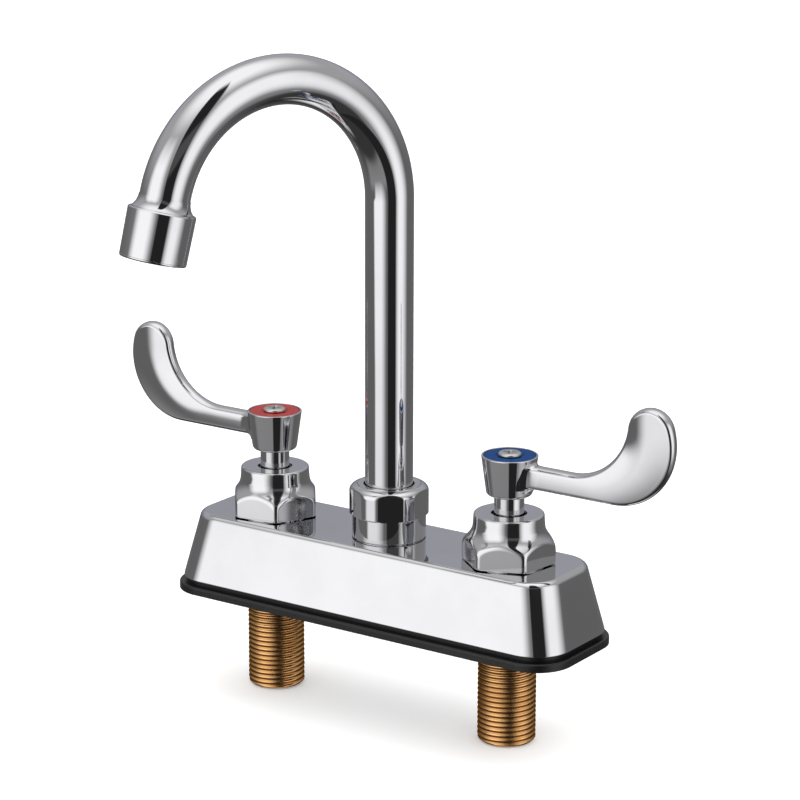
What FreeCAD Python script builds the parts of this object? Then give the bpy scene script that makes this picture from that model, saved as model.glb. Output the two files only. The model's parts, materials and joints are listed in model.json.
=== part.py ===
import FreeCAD, Part
import math
import os

# Two-handle deck faucet with a swivel gooseneck, in millimetres.
# Origin: middle of the base, on the sink deck. +X to the cold valve, -Y to the user, +Z up.

V = FreeCAD.Vector

# Base
VALVE_CENTRES = 101.6
BODY_END = 31.5
BODY_DEPTH = 48.2
BODY_HEIGHT = 24.75
BODY_CORNER = 12.8
BODY_TOP_CORNER = 11.2
END_LEAN = 13.2
FACE_LEAN = 10.8
TOP_EDGE_ROUND = 2.2
FOOT_EDGE_ROUND = 0.6
BODY_WALL = 3.0
GASKET_HEIGHT = 4.6
GASKET_FLANGE = 2.9
GASKET_OVERHANG = 1.1
GASKET_EDGE_ROUND = 0.8
GASKET_SHADOW_GAP = 1.6

# Inlets
PIPE_R = 10.4
PIPE_BORE_R = 6.6
PIPE_LENGTH = 36.5
PIPE_END_CHAMFER = 1.2
PIPE_TENON_R = 9.9

# Valve pockets and waterway
POCKET_R = 14.2
POCKET_THREAD_R = 12.1
POCKET_BORE_R = 10.0
POCKET_BELOW_BODY = 3.2
SEAT_PORT_R = 5.0
SEAT_FLOOR = 1.5
CHANNEL_R = 3.0
CHANNEL_WALL = 2.6

# Cartridge
SPIGOT_DEPTH = 6.0
SLEEVE_FLANGE = 2.0
SLEEVE_SHOULDER = 2.8
CHAMBER_R = 8.5
THRUST_WASHER = 0.8
DRIVE_PLATE = 2.6
DRIVE_PLATE_R = 7.9
DRIVE_CORE_R = 3.2
DISC_THICKNESS = 2.5
DISC_PORT_IN_R = 2.2
DISC_PORT_OUT_R = 6.6
DISC_PORT_HALF_ANGLE = 38.0
SEAT_SEAL = 1.5
DOG_DEPTH = 1.2
DOG_WIDTH = 2.4
DOG_LENGTH = 2.6
NECK_R = 7.6
NECK_HEIGHT = 13.2
STEM_R = 5.3
SMALL_SEAL = 1.5
STEM_SEAL_Z = 2.0
STEM_SEAL_PITCH = 4.5
CIRCLIP = 1.0
CIRCLIP_WIDTH = 2.4
CIRCLIP_GRIP = 0.8
CIRCLIP_MOUTH_HALF_ANGLE = 35.0

# Bonnet
BONNET_HEIGHT = 17.7
BONNET_TOP_R = 12.4
BONNET_WAIST_R = 12.7
BONNET_WAIST_Z = 13.2
BONNET_HIP_R = 14.55
BONNET_HIP_Z = 9.3
BONNET_FLATS = 29.5
BONNET_CORNER_Z = 4.2
BONNET_CORNER_ROUND = 2.0
BONNET_CAP = 2.3
BONNET_BORE_R = 9.6
BONNET_HOLE_R = 6.2
BONNET_EDGE = 0.8
HOT_HEX_TURN = 6.9
COLD_HEX_TURN = 21.7

# Handle
HUB_GAP = 6.5
HUB_HEIGHT = 14.3
HUB_TOP_R = 10.0
HUB_FOOT_R = 8.0
HUB_FOOT_ROUND = 1.4
HUB_WEB = 2.4
INDEX_R = 9.1
INDEX_THICKNESS = 1.5
INDEX_RECESS = 0.1
BROACH_R = 4.2
BROACH_FLATS = 6.8
BROACH_START = 2.0
SCREW_R = 2.0
SCREW_HEAD_R = 4.1
SCREW_HEAD_HEIGHT = 1.2
SCREW_GRIP = 6.0
ARM_DROP = 6.4
ARM_HEIGHT = 8.4
BLADE_REACH = 65.4
HEEL_R = 23.0
THROAT_R = 22.5
TIP_R = 8.7
TIP_LIFT = 4.4
BLADE_RIM = 4.0
BLADE_CROWN = 0.9
BLADE_EDGE_ROUND = 1.6
DOME_MARGIN = 2.6
ROOT_PLAN_R = 14.0
ROOT_UNDER_R = 3.0
ROOT_TOP_R = 1.5
ROOT_SINK = 0.25

# Spout
SPOUT_TURN = 21.1
TUBE_R = 8.6
TUBE_WALL = 1.2
BEND_R = 45.5
BEND_START_Z = 123.1
BEND_ANGLE = 166.0
BOSS_R = 11.3
BOSS_HEIGHT = 7.5
BOSS_BORE_R = 8.3
BOSS_DEPTH = 16.0
BOSS_FLOOR = 3.0
COLLAR_FLANGE = 4.0
COLLAR_STEP = 1.5
COLLAR_SLEEVE_WALL = 0.7
COLLAR_SLEEVE_HEIGHT = 3.0
COLLAR_SPIGOT = 14.0
COLLAR_BORE_R = 5.2
COLLAR_SEAL = 1.8
COLLAR_SEAL_DROP = 4.0
COLLAR_SEAL_PITCH = 5.0
SWIVEL_WASHER = 1.0
NUT_SKIRT_R = 13.3
NUT_BAND_R = 14.25
NUT_BAND_Z = 8.6
NUT_SHOULDER_Z = 16.9
NUT_HEIGHT = 19.7
NUT_RING_R = 11.5
NUT_HOLE_R = 9.7
NUT_FLATS = 26.9
NUT_EDGE = 0.5
NUT_TURN = 34.7

# Outlet, along the tube from the end of its bend
TUBE_TAIL = 4.6
FLARE_START = 0.9
FLARE_END = 5.2
FLARE_R = 10.6
FLARE_LIP = 0.2
ADAPTER_THREAD_R = 10.0
ADAPTER_THREAD = 6.6
SHELL_R = 11.6
SHELL_END_R = 11.4
SHELL_LENGTH = 17.2
SHELL_LIP_R = 9.0
SHELL_LIP = 1.2
SHELL_EDGE = 0.5
AERATOR_WASHER = 1.6
AERATOR_WASHER_BORE_R = 6.6
SCREEN_THICKNESS = 0.6
SCREEN_HOLE_R = 0.7
SCREEN_RINGS = 3
INSERT_WALL = 1.0
INSERT_PLATE = 1.2
INSERT_JETS = 10
INSERT_JET_R = 0.8
INSERT_JET_CIRCLE_R = 5.0
INSERT_VANE = 0.9
INSERT_VANES = 3

# Clearances
RUNNING = 0.05
SEAL_GAP = 0.03
SNUG = 0.1
FREE = 0.3

# Levels over the top of the base, worked out from the sizes above
DECK_TOP = GASKET_HEIGHT + BODY_HEIGHT
SLEEVE_SEAT = -SPIGOT_DEPTH - SLEEVE_FLANGE
CHAMBER_TOP = SLEEVE_SEAT - SLEEVE_SHOULDER
DRIVE_TOP = CHAMBER_TOP - THRUST_WASHER
DISC_TOP = DRIVE_TOP - DRIVE_PLATE
DISC_PLANE = DISC_TOP - DISC_THICKNESS
SEAL_TOP = DISC_PLANE - DISC_THICKNESS
SEAT = SEAL_TOP - SEAT_SEAL
PIPE_SHOULDER = SEAT - SEAT_FLOOR
POCKET_FOOT = -BODY_HEIGHT - POCKET_BELOW_BODY
CHANNEL_Z = (DRIVE_TOP + DISC_TOP) / 2
SLEEVE_SEAL_Z = SLEEVE_SEAT - SLEEVE_SHOULDER / 2
CIRCLIP_Z = NECK_HEIGHT + SNUG
HUB_FOOT_Z = BONNET_HEIGHT + HUB_GAP
HUB_TOP_Z = HUB_FOOT_Z + HUB_HEIGHT
INDEX_TOP = HUB_TOP_Z - INDEX_RECESS
INDEX_FLOOR = INDEX_TOP - INDEX_THICKNESS
STEM_TOP = INDEX_FLOOR - HUB_WEB
BROACH_FOOT = HUB_FOOT_Z + BROACH_START
ARM_Z = HUB_TOP_Z - ARM_DROP
ARM_LOW = ARM_Z - ARM_HEIGHT / 2
ARM_HIGH = ARM_Z + ARM_HEIGHT / 2
FLANGE_FOOT = BOSS_HEIGHT + RUNNING
FLANGE_TOP = FLANGE_FOOT + COLLAR_FLANGE
TUBE_FOOT = FLANGE_FOOT + COLLAR_STEP
NUT_SEAT = FLANGE_TOP + RUNNING + SWIVEL_WASHER
COLLAR_SEAL_Z = FLANGE_FOOT - COLLAR_SEAL_DROP

# Levels along the outlet
ADAPTER_END = FLARE_END + ADAPTER_THREAD
SHELL_START = FLARE_END + SNUG
SHELL_END = SHELL_START + SHELL_LENGTH
LIP_SEAT = SHELL_END - SHELL_LIP
SCREEN_TOP = ADAPTER_END + AERATOR_WASHER
INSERT_TOP = SCREEN_TOP + SCREEN_THICKNESS

# Lengths and radii that follow from a neighbour
BODY_LENGTH = VALVE_CENTRES + 2 * BODY_END
SLEEVE_R = POCKET_BORE_R - SNUG
NECK_BORE_R = STEM_R + RUNNING
SPIGOT_R = BOSS_BORE_R - RUNNING
NUT_BORE_R = BOSS_R + RUNNING
COLLAR_R = NUT_BORE_R - FREE
COLLAR_SOCKET_R = TUBE_R + RUNNING
COLLAR_SLEEVE_R = COLLAR_SOCKET_R + COLLAR_SLEEVE_WALL
TUBE_BORE_R = TUBE_R - TUBE_WALL
SHELL_BORE_R = ADAPTER_THREAD_R + RUNNING
INSERT_R = SHELL_BORE_R - SNUG


def cylinder(radius, low, high):
    return Part.makeCylinder(radius, high - low, V(0, 0, low))


def ring(inner, outer, low, high):
    return cylinder(outer, low, high).cut(cylinder(inner, low, high))


def line(start, end):
    """Straight edge between two (radius, height) points."""
    return Part.makeLine(V(start[0], 0, start[1]), V(end[0], 0, end[1]))


def curve(points, first, last):
    """Smooth edge through (radius, height) points with a direction at each end."""
    spline = Part.BSplineCurve()
    spline.interpolate(
        Points=[V(x, 0, z) for x, z in points],
        InitialTangent=V(first[0], 0, first[1]),
        FinalTangent=V(last[0], 0, last[1]),
    )
    return spline.toShape()


def chain(points):
    """Straight edges through (radius, height) points."""
    return [line(start, end) for start, end in zip(points, points[1:])]


def revolved(edges):
    return Part.Face(Part.Wire(edges)).revolve(V(0, 0, 0), V(0, 0, 1), 360)


def turned(*points):
    """Solid of revolution about Z from the (radius, height) corners of its half section."""
    return revolved(chain(list(points) + [points[0]]))


def sector(inner, outer, half_angle, turn, low, high):
    """Part of a ring, centred on an angle."""
    wedge = Part.makeCylinder(outer, high - low, V(0, 0, low), V(0, 0, 1), 2 * half_angle)
    wedge = wedge.cut(cylinder(inner, low, high))
    wedge.rotate(V(0, 0, 0), V(0, 0, 1), turn - half_angle)
    return wedge


def seal_ring(outer, section, z):
    return Part.makeTorus(outer - section / 2, section / 2, V(0, 0, z))


def seal_groove(outer, section, z, shaft):
    """Ring that cuts the groove of a seal ring into a shaft."""
    half_width = section / 2 + SNUG
    return ring(outer - section - SEAL_GAP, shaft + FREE, z - half_width, z + half_width)


def hexagon(flats, low, high, turn):
    corner = flats / 2 / math.cos(math.radians(30))
    points = []
    for step in range(7):
        angle = math.radians(turn + 60 * step)
        points.append(V(corner * math.cos(angle), corner * math.sin(angle), low))
    return Part.Face(Part.makePolygon(points)).extrude(V(0, 0, high - low))


def rounded_rectangle(length, depth, corner, z):
    """Closed outline with four corner arcs."""
    x = length / 2 - corner
    y = depth / 2 - corner
    arcs = []
    for cx, cy, start in ((x, y, 0), (-x, y, 90), (-x, -y, 180), (x, -y, 270)):
        angles = [math.radians(start + angle) for angle in (0, 45, 90)]
        arcs.append([V(cx + corner * math.cos(a), cy + corner * math.sin(a), z) for a in angles])
    edges = []
    for arc, following in zip(arcs, arcs[1:] + arcs[:1]):
        edges.append(Part.Arc(*arc).toShape())
        edges.append(Part.makeLine(arc[2], following[0]))
    return Part.Wire(edges)


def plate(length, depth, corner, low, high):
    return Part.Face(rounded_rectangle(length, depth, corner, low)).extrude(V(0, 0, high - low))


def leaning_block(inset, low, high):
    """The base's leaning walls, moved inwards, between two heights over the sink deck."""
    outlines = []
    for z in (low, high):
        rise = z - GASKET_HEIGHT
        length = BODY_LENGTH - 2 * (inset + rise * math.tan(math.radians(END_LEAN)))
        depth = BODY_DEPTH - 2 * (inset + rise * math.tan(math.radians(FACE_LEAN)))
        corner = BODY_CORNER + (BODY_TOP_CORNER - BODY_CORNER) * rise / (DECK_TOP - GASKET_HEIGHT)
        outlines.append(rounded_rectangle(length, depth, corner - inset, z))
    return Part.makeLoft(outlines, True, True)


def round_level(shape, radius, z):
    """Round the edges that lie at one height."""
    edges = []
    for edge in shape.Edges:
        box = edge.BoundBox
        if max(abs(box.ZMin - z), abs(box.ZMax - z)) < 0.01:
            edges.append(edge)
    return shape.makeFillet(radius, edges)


def upright_edges(shape):
    return [edge for edge in shape.Edges if edge.BoundBox.ZLength > shape.BoundBox.ZLength / 2]


def at_valve(shape, side, turn=0):
    placed = shape.copy()
    placed.rotate(V(0, 0, 0), V(0, 0, 1), turn)
    placed.translate(V(side * VALVE_CENTRES / 2, 0, DECK_TOP))
    return placed


def at_riser(shape):
    placed = shape.copy()
    placed.translate(V(0, 0, DECK_TOP))
    return placed


def at_spout(shape):
    """Turn the spout, modelled with its reach along +X, to where it points."""
    placed = at_riser(shape)
    placed.rotate(V(0, 0, 0), V(0, 0, 1), -90 - SPOUT_TURN)
    return placed


def at_outlet(shape):
    """Put a piece that is turned about +Z on the outlet's axis."""
    angle = math.radians(BEND_ANGLE)
    end = V(BEND_R * (1 - math.cos(angle)), 0, BEND_START_Z + BEND_R * math.sin(angle))
    flow = V(math.sin(angle), 0, math.cos(angle))
    placed = shape.copy()
    placed.Placement = FreeCAD.Placement(end, FreeCAD.Rotation(V(0, 0, 1), flow))
    return at_spout(placed)


def across(radius):
    """Cylinder from valve axis to valve axis, at the height of the waterway."""
    start = V(-VALVE_CENTRES / 2, 0, CHANNEL_Z)
    return at_riser(Part.makeCylinder(radius, VALVE_CENTRES, start, V(1, 0, 0)))


def deck_body():
    """Hollow casting: leaning walls, two valve pockets, the spout boss and the waterway between them."""
    shell = leaning_block(0, GASKET_HEIGHT, DECK_TOP)
    shell = round_level(shell, TOP_EDGE_ROUND, DECK_TOP)
    shell = round_level(shell, FOOT_EDGE_ROUND, GASKET_HEIGHT)
    shell = shell.cut(leaning_block(BODY_WALL, GASKET_HEIGHT, DECK_TOP - BODY_WALL))
    boss = at_riser(cylinder(BOSS_R, -BOSS_DEPTH - BOSS_FLOOR, BOSS_HEIGHT))
    pocket = cylinder(POCKET_R, POCKET_FOOT, -BODY_WALL / 2)
    pockets = [at_valve(pocket, side) for side in (-1, 1)]
    body = shell.fuse([boss, across(CHANNEL_R + CHANNEL_WALL)] + pockets)
    tenon = PIPE_TENON_R + RUNNING
    pocket_bore = turned(
        (0, 0), (POCKET_THREAD_R, 0), (POCKET_THREAD_R, SLEEVE_SEAT), (POCKET_BORE_R, SLEEVE_SEAT),
        (POCKET_BORE_R, SEAT), (SEAT_PORT_R, SEAT), (SEAT_PORT_R, PIPE_SHOULDER),
        (tenon, PIPE_SHOULDER), (tenon, POCKET_FOOT), (0, POCKET_FOOT),
    )
    boss_bore = at_riser(cylinder(BOSS_BORE_R, -BOSS_DEPTH, BOSS_HEIGHT))
    bores = [at_valve(pocket_bore, side) for side in (-1, 1)]
    return body.cut([boss_bore, across(CHANNEL_R)] + bores).removeSplitter()


def base_gasket():
    """Rubber plate: a flange that shows round the base and a raised pad that the base stands on."""
    over = GASKET_OVERHANG
    under = GASKET_SHADOW_GAP
    flange = plate(BODY_LENGTH + 2 * over, BODY_DEPTH + 2 * over, BODY_CORNER + over, 0, GASKET_FLANGE)
    flange = round_level(flange, GASKET_EDGE_ROUND, GASKET_FLANGE)
    pad = plate(BODY_LENGTH - 2 * under, BODY_DEPTH - 2 * under, BODY_CORNER - under, 0, GASKET_HEIGHT)
    gasket = flange.fuse(pad)
    for side in (-1, 1):
        hole = cylinder(POCKET_R + FREE, 0, GASKET_HEIGHT)
        hole.translate(V(side * VALVE_CENTRES / 2, 0, 0))
        gasket = gasket.cut(hole)
    return gasket.removeSplitter()


def shank():
    """Inlet pipe: a tenon screwed into the pocket, then the full thread with a chamfered end."""
    end = -DECK_TOP - PIPE_LENGTH
    return turned(
        (PIPE_BORE_R, PIPE_SHOULDER), (PIPE_TENON_R, PIPE_SHOULDER), (PIPE_TENON_R, POCKET_FOOT),
        (PIPE_R, POCKET_FOOT), (PIPE_R, end + PIPE_END_CHAMFER), (PIPE_R - PIPE_END_CHAMFER, end),
        (PIPE_BORE_R, end),
    )


def bonnet(turn):
    """Bell that runs out into a hexagon: a turned form trimmed by a hexagon prism."""
    corner = BONNET_FLATS / 2 / math.cos(math.radians(30)) + FREE
    shoulder = (BONNET_TOP_R, BONNET_HEIGHT - BONNET_EDGE)
    waist = (BONNET_WAIST_R, BONNET_WAIST_Z)
    hip = (BONNET_HIP_R, BONNET_HIP_Z)
    hem = (corner, BONNET_CORNER_Z)
    taper = (waist[0] - shoulder[0], waist[1] - shoulder[1])
    crown = chain([(0, BONNET_HEIGHT), (BONNET_TOP_R - BONNET_EDGE, BONNET_HEIGHT), shoulder, waist])
    foot = chain([hem, (corner, BONNET_EDGE), (corner - BONNET_EDGE, 0), (0, 0), (0, BONNET_HEIGHT)])
    bell = revolved(crown + [curve([waist, hip, hem], taper, (0, -1))] + foot)
    prism = hexagon(BONNET_FLATS, 0, BONNET_HEIGHT, turn)
    prism = prism.makeFillet(BONNET_CORNER_ROUND, upright_edges(prism))
    bell = bell.common(prism)
    bell = bell.fuse(cylinder(POCKET_THREAD_R - RUNNING, -SPIGOT_DEPTH, BONNET_EDGE))
    bell = bell.cut(cylinder(BONNET_BORE_R, -SPIGOT_DEPTH, BONNET_HEIGHT - BONNET_CAP))
    return bell.cut(cylinder(BONNET_HOLE_R, 0, BONNET_HEIGHT)).removeSplitter()


def cartridge_sleeve():
    """Brass housing: clamped flange, neck for the stem, and a disc chamber with two side windows."""
    flange = POCKET_THREAD_R - FREE
    sleeve = turned(
        (NECK_BORE_R, CHAMBER_TOP), (NECK_BORE_R, NECK_HEIGHT), (NECK_R, NECK_HEIGHT),
        (NECK_R, -SPIGOT_DEPTH), (flange, -SPIGOT_DEPTH), (flange, SLEEVE_SEAT), (SLEEVE_R, SLEEVE_SEAT),
        (SLEEVE_R, SEAL_TOP), (CHAMBER_R, SEAL_TOP), (CHAMBER_R, CHAMBER_TOP),
    )
    for turn in (0, 180):
        window = sector(CHAMBER_R - FREE, SLEEVE_R + FREE, DISC_PORT_HALF_ANGLE, turn, DISC_TOP, DRIVE_TOP)
        sleeve = sleeve.cut(window)
    return sleeve.cut(seal_groove(POCKET_BORE_R - SEAL_GAP, SMALL_SEAL, SLEEVE_SEAL_Z, SLEEVE_R))


def sleeve_o_ring():
    return seal_ring(POCKET_BORE_R - SEAL_GAP, SMALL_SEAL, SLEEVE_SEAL_Z)


def ported_disc(radius, low, high, turn):
    """Ceramic disc with two opposite ports."""
    disc = cylinder(radius, low, high)
    for angle in (turn, turn + 180):
        disc = disc.cut(sector(DISC_PORT_IN_R, DISC_PORT_OUT_R, DISC_PORT_HALF_ANGLE, angle, low, high))
    return disc


def fixed_disc():
    return ported_disc(CHAMBER_R - SNUG, SEAL_TOP, DISC_PLANE, 90)


def dogs(extra):
    """Two drive dogs between stem and moving disc, or their slots with some room round them."""
    length = DOG_LENGTH + 2 * extra
    width = DOG_WIDTH + 2 * extra
    depth = DOG_DEPTH + extra
    middle = DRIVE_PLATE_R - FREE - DOG_LENGTH / 2
    blocks = []
    for side in (-1, 1):
        corner = V(-width / 2, side * middle - length / 2, DISC_TOP - depth)
        blocks.append(Part.makeBox(width, length, depth, corner))
    return blocks


def moving_disc():
    """Ceramic disc that the stem turns; shut while its ports lie across those of the fixed disc."""
    disc = ported_disc(CHAMBER_R - FREE, DISC_PLANE + RUNNING, DISC_TOP, 0)
    return disc.cut(dogs(SNUG))


def seat_seal():
    return ring(SEAT_PORT_R, POCKET_BORE_R - SNUG, SEAT, SEAL_TOP)


def thrust_washer():
    return ring(STEM_R + FREE, CHAMBER_R - SNUG, DRIVE_TOP, CHAMBER_TOP)


def broach(extra, low, high):
    """Shaft end with two flats that carries the handle, or its socket."""
    width = BROACH_FLATS + 2 * extra
    radius = BROACH_R + extra
    slab = Part.makeBox(2 * radius, width, high - low, V(-radius, -width / 2, low))
    return cylinder(radius, low, high).common(slab)


def stem_seal_levels():
    return [STEM_SEAL_Z, STEM_SEAL_Z + STEM_SEAL_PITCH]


def stem():
    """Spindle: drive plate with two dogs, sealed shaft, circlip groove, and the broach for the handle."""
    shaft = cylinder(DRIVE_PLATE_R, DISC_TOP, DRIVE_TOP - RUNNING)
    for turn in (0, 180):
        notch = sector(DRIVE_CORE_R, CHAMBER_R, DISC_PORT_HALF_ANGLE, turn, DISC_TOP, DRIVE_TOP)
        shaft = shaft.cut(notch)
    shaft = shaft.fuse([cylinder(STEM_R, DRIVE_TOP - RUNNING, BROACH_FOOT)] + dogs(0))
    shaft = shaft.fuse(broach(0, BROACH_FOOT, STEM_TOP))
    for z in stem_seal_levels():
        shaft = shaft.cut(seal_groove(NECK_BORE_R - SEAL_GAP, SMALL_SEAL, z, STEM_R))
    clip_groove = ring(STEM_R - CIRCLIP_GRIP, STEM_R + FREE, CIRCLIP_Z, CIRCLIP_Z + CIRCLIP)
    screw_hole = cylinder(SCREW_R + RUNNING, STEM_TOP - SCREW_GRIP - FREE, STEM_TOP)
    return shaft.cut([clip_groove, screw_hole]).removeSplitter()


def stem_o_rings():
    rings = [seal_ring(NECK_BORE_R - SEAL_GAP, SMALL_SEAL, z) for z in stem_seal_levels()]
    return Part.makeCompound(rings)


def stem_circlip():
    """Open clip in the stem's groove, over the top of the sleeve's neck."""
    inner = STEM_R - CIRCLIP_GRIP + RUNNING
    outer = inner + CIRCLIP_WIDTH
    clip = ring(inner, outer, CIRCLIP_Z, CIRCLIP_Z + CIRCLIP)
    mouth = sector(inner - FREE, outer + FREE, CIRCLIP_MOUTH_HALF_ANGLE, 90, CIRCLIP_Z, CIRCLIP_Z + CIRCLIP)
    return clip.cut(mouth)


def arc(centre, radius, first, last):
    """Arc about a centre between two directions less than half a turn apart."""
    middle = (first + last).normalize()
    return Part.Arc(centre + first * radius, centre + middle * radius, centre + last * radius).toShape()


def towards(start, end):
    return (end - start).normalize()


def heel_centre():
    return V(BLADE_REACH - HEEL_R, 0, ARM_LOW + HEEL_R)


def tip_centre():
    """Middle of the round tip, which lies inside the heel's circle and touches it."""
    return heel_centre() + V(math.sqrt((HEEL_R - TIP_R) ** 2 - TIP_LIFT ** 2), 0, TIP_LIFT)


def throat_centre():
    """Middle of the inner bend, whose circle touches the arm's top and the round tip."""
    drop = ARM_HIGH + THROAT_R - tip_centre().z
    return tip_centre() + V(-math.sqrt((THROAT_R + TIP_R) ** 2 - drop ** 2), 0, drop)


def blade_outline():
    """Side view of arm and blade: level arm, then three arcs that run into each other."""
    heel = heel_centre()
    tip = tip_centre()
    throat = throat_centre()
    down = V(0, 0, -1)
    outer = towards(heel, tip)
    inner = towards(throat, tip)
    edges = [
        Part.makeLine(V(0, 0, ARM_LOW), heel + down * HEEL_R),
        arc(heel, HEEL_R, down, outer),
        arc(tip, TIP_R, outer, inner * -1),
        arc(throat, THROAT_R, inner, down),
        Part.makeLine(throat + down * THROAT_R, V(0, 0, ARM_HIGH)),
        Part.makeLine(V(0, 0, ARM_HIGH), V(0, 0, ARM_LOW)),
    ]
    return Part.Face(Part.Wire(edges))


def blade_dome():
    """Lens section carried along the arm's middle line: thick at the middle, thinner at the rim."""
    tip = tip_centre()
    bend_r = tip.z - ARM_Z
    start = tip.x - bend_r
    dome_r = (TIP_R ** 2 + BLADE_CROWN ** 2) / (2 * BLADE_CROWN)
    reach = TIP_R + DOME_MARGIN
    thick = BLADE_RIM / 2 + BLADE_CROWN
    thin = thick - dome_r + math.sqrt(dome_r ** 2 - reach ** 2)
    faces = []
    for side in (-1, 1):
        ends = [V(0, side * thin, ARM_Z - reach), V(0, side * thin, ARM_Z + reach)]
        faces.append(Part.Arc(ends[0], V(0, side * thick, ARM_Z), ends[1]).toShape())
    rims = [Part.makeLine(V(0, -thin, ARM_Z + rise), V(0, thin, ARM_Z + rise)) for rise in (-reach, reach)]
    section = Part.Face(Part.Wire([faces[0], rims[1], faces[1], rims[0]]))
    level = section.extrude(V(start, 0, 0))
    section.translate(V(start, 0, 0))
    pivot = V(start, 0, tip.z)
    bend = section.revolve(pivot, V(0, -1, 0), 90)
    section.rotate(pivot, V(0, -1, 0), 90)
    upright = section.extrude(V(0, 0, TIP_R + DOME_MARGIN))
    return level.fuse([bend, upright])


def is_wall(face):
    """True for a face of the side view, which stands square to the blade."""
    low_u, high_u, low_v, high_v = face.ParameterRange
    return abs(face.normalAt((low_u + high_u) / 2, (low_v + high_v) / 2).y) < 0.02


def blade():
    """Arm and paddle in one: the side view, made as thick as the dome, with rounded rims."""
    outline = blade_outline()
    outline.translate(V(0, -BLADE_RIM, 0))
    form = outline.extrude(V(0, 2 * BLADE_RIM, 0)).common(blade_dome())
    rims = []
    for edge in form.Edges:
        walls = [is_wall(face) for face in form.ancestorsOfType(edge, Part.Face)]
        if sorted(walls) == [False, True] and edge.BoundBox.XMax > HUB_TOP_R:
            rims.append(edge)
    return form.makeFillet(BLADE_EDGE_ROUND, rims)


def curved_edges(root, start):
    """Edges beyond the hub's side that bend in plan."""
    edges = []
    for edge in root.Edges:
        box = edge.BoundBox
        if box.XMin > start - 0.1 and min(box.XLength, box.YLength) > 0.01:
            edges.append(edge)
    return edges


def arm_root():
    """Hollow-rounded joint of hub and arm: its plan and its side view, one trimmed by the other."""
    hub_r = HUB_FOOT_R + (HUB_TOP_R - HUB_FOOT_R) * (ARM_LOW - HUB_FOOT_Z) / HUB_HEIGHT
    half = BLADE_RIM / 2 + BLADE_CROWN - ROOT_SINK
    centre = V(math.sqrt((hub_r + ROOT_PLAN_R) ** 2 - (half + ROOT_PLAN_R) ** 2), half + ROOT_PLAN_R, 0)
    end = centre.x
    hub_side = towards(centre, V(0, 0, 0))
    flip = FreeCAD.Matrix()
    flip.scale(1, -1, 1)
    corner = arc(centre, ROOT_PLAN_R, hub_side, V(0, -1, 0))
    touch = centre + hub_side * ROOT_PLAN_R
    plan = Part.Wire([
        Part.makeLine(V(0, -touch.y, 0), V(0, touch.y, 0)),
        Part.makeLine(V(0, touch.y, 0), touch),
        corner,
        Part.makeLine(V(end, half, 0), V(end, -half, 0)),
        corner.transformGeometry(flip),
        Part.makeLine(V(touch.x, -touch.y, 0), V(0, -touch.y, 0)),
    ])
    low = ARM_LOW - ROOT_UNDER_R
    high = ARM_HIGH + ROOT_TOP_R
    under = V(HUB_FOOT_R + ROOT_UNDER_R, 0, low)
    over = V(HUB_TOP_R + ROOT_TOP_R, 0, high)
    side = Part.Wire([
        Part.makeLine(V(0, 0, low), V(HUB_FOOT_R, 0, low)),
        arc(under, ROOT_UNDER_R, V(-1, 0, 0), V(0, 0, 1)),
        Part.makeLine(V(under.x, 0, ARM_LOW), V(end, 0, ARM_LOW)),
        Part.makeLine(V(end, 0, ARM_LOW), V(end, 0, ARM_HIGH)),
        Part.makeLine(V(end, 0, ARM_HIGH), V(over.x, 0, ARM_HIGH)),
        arc(over, ROOT_TOP_R, V(0, 0, -1), V(-1, 0, 0)),
        Part.makeLine(V(HUB_TOP_R, 0, high), V(0, 0, high)),
        Part.makeLine(V(0, 0, high), V(0, 0, low)),
    ])
    plan_face = Part.Face(plan)
    plan_face.translate(V(0, 0, low))
    side_face = Part.Face(side)
    side_face.translate(V(0, -touch.y, 0))
    root = plan_face.extrude(V(0, 0, high - low)).common(side_face.extrude(V(0, 2 * touch.y, 0)))
    return root.makeFillet(BLADE_EDGE_ROUND, curved_edges(root, touch.x))


def handle():
    """Wrist-blade handle: tapered hub with recess, screw hole and socket; flared root, arm and blade."""
    hub = turned((0, HUB_FOOT_Z), (HUB_FOOT_R, HUB_FOOT_Z), (HUB_TOP_R, HUB_TOP_Z), (0, HUB_TOP_Z))
    hub = round_level(hub, HUB_FOOT_ROUND, HUB_FOOT_Z)
    solid = hub.fuse([arm_root(), blade()])
    index_recess = cylinder(INDEX_R + SNUG, INDEX_FLOOR, HUB_TOP_Z)
    screw_hole = cylinder(SCREW_R + FREE, STEM_TOP, INDEX_FLOOR)
    stem_socket = cylinder(STEM_R + RUNNING, HUB_FOOT_Z, BROACH_FOOT)
    return solid.cut([index_recess, screw_hole, stem_socket, broach(RUNNING, BROACH_FOOT, STEM_TOP)])


def index_disc():
    return ring(SCREW_R + FREE, INDEX_R, INDEX_FLOOR, INDEX_TOP)


def handle_screw():
    """Flat-topped pan-head screw through the index disc into the stem."""
    top = INDEX_TOP + SCREW_HEAD_HEIGHT
    rim = (SCREW_HEAD_R, INDEX_TOP + SCREW_HEAD_HEIGHT / 3)
    brow = (SCREW_HEAD_R - SCREW_HEAD_HEIGHT, top)
    end = STEM_TOP - SCREW_GRIP
    foot = chain([
        brow, (0, top), (0, end), (SCREW_R, end), (SCREW_R, INDEX_TOP), (SCREW_HEAD_R, INDEX_TOP), rim
    ])
    return revolved(foot + [curve([rim, brow], (0, 1), (-1, 0))])


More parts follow.
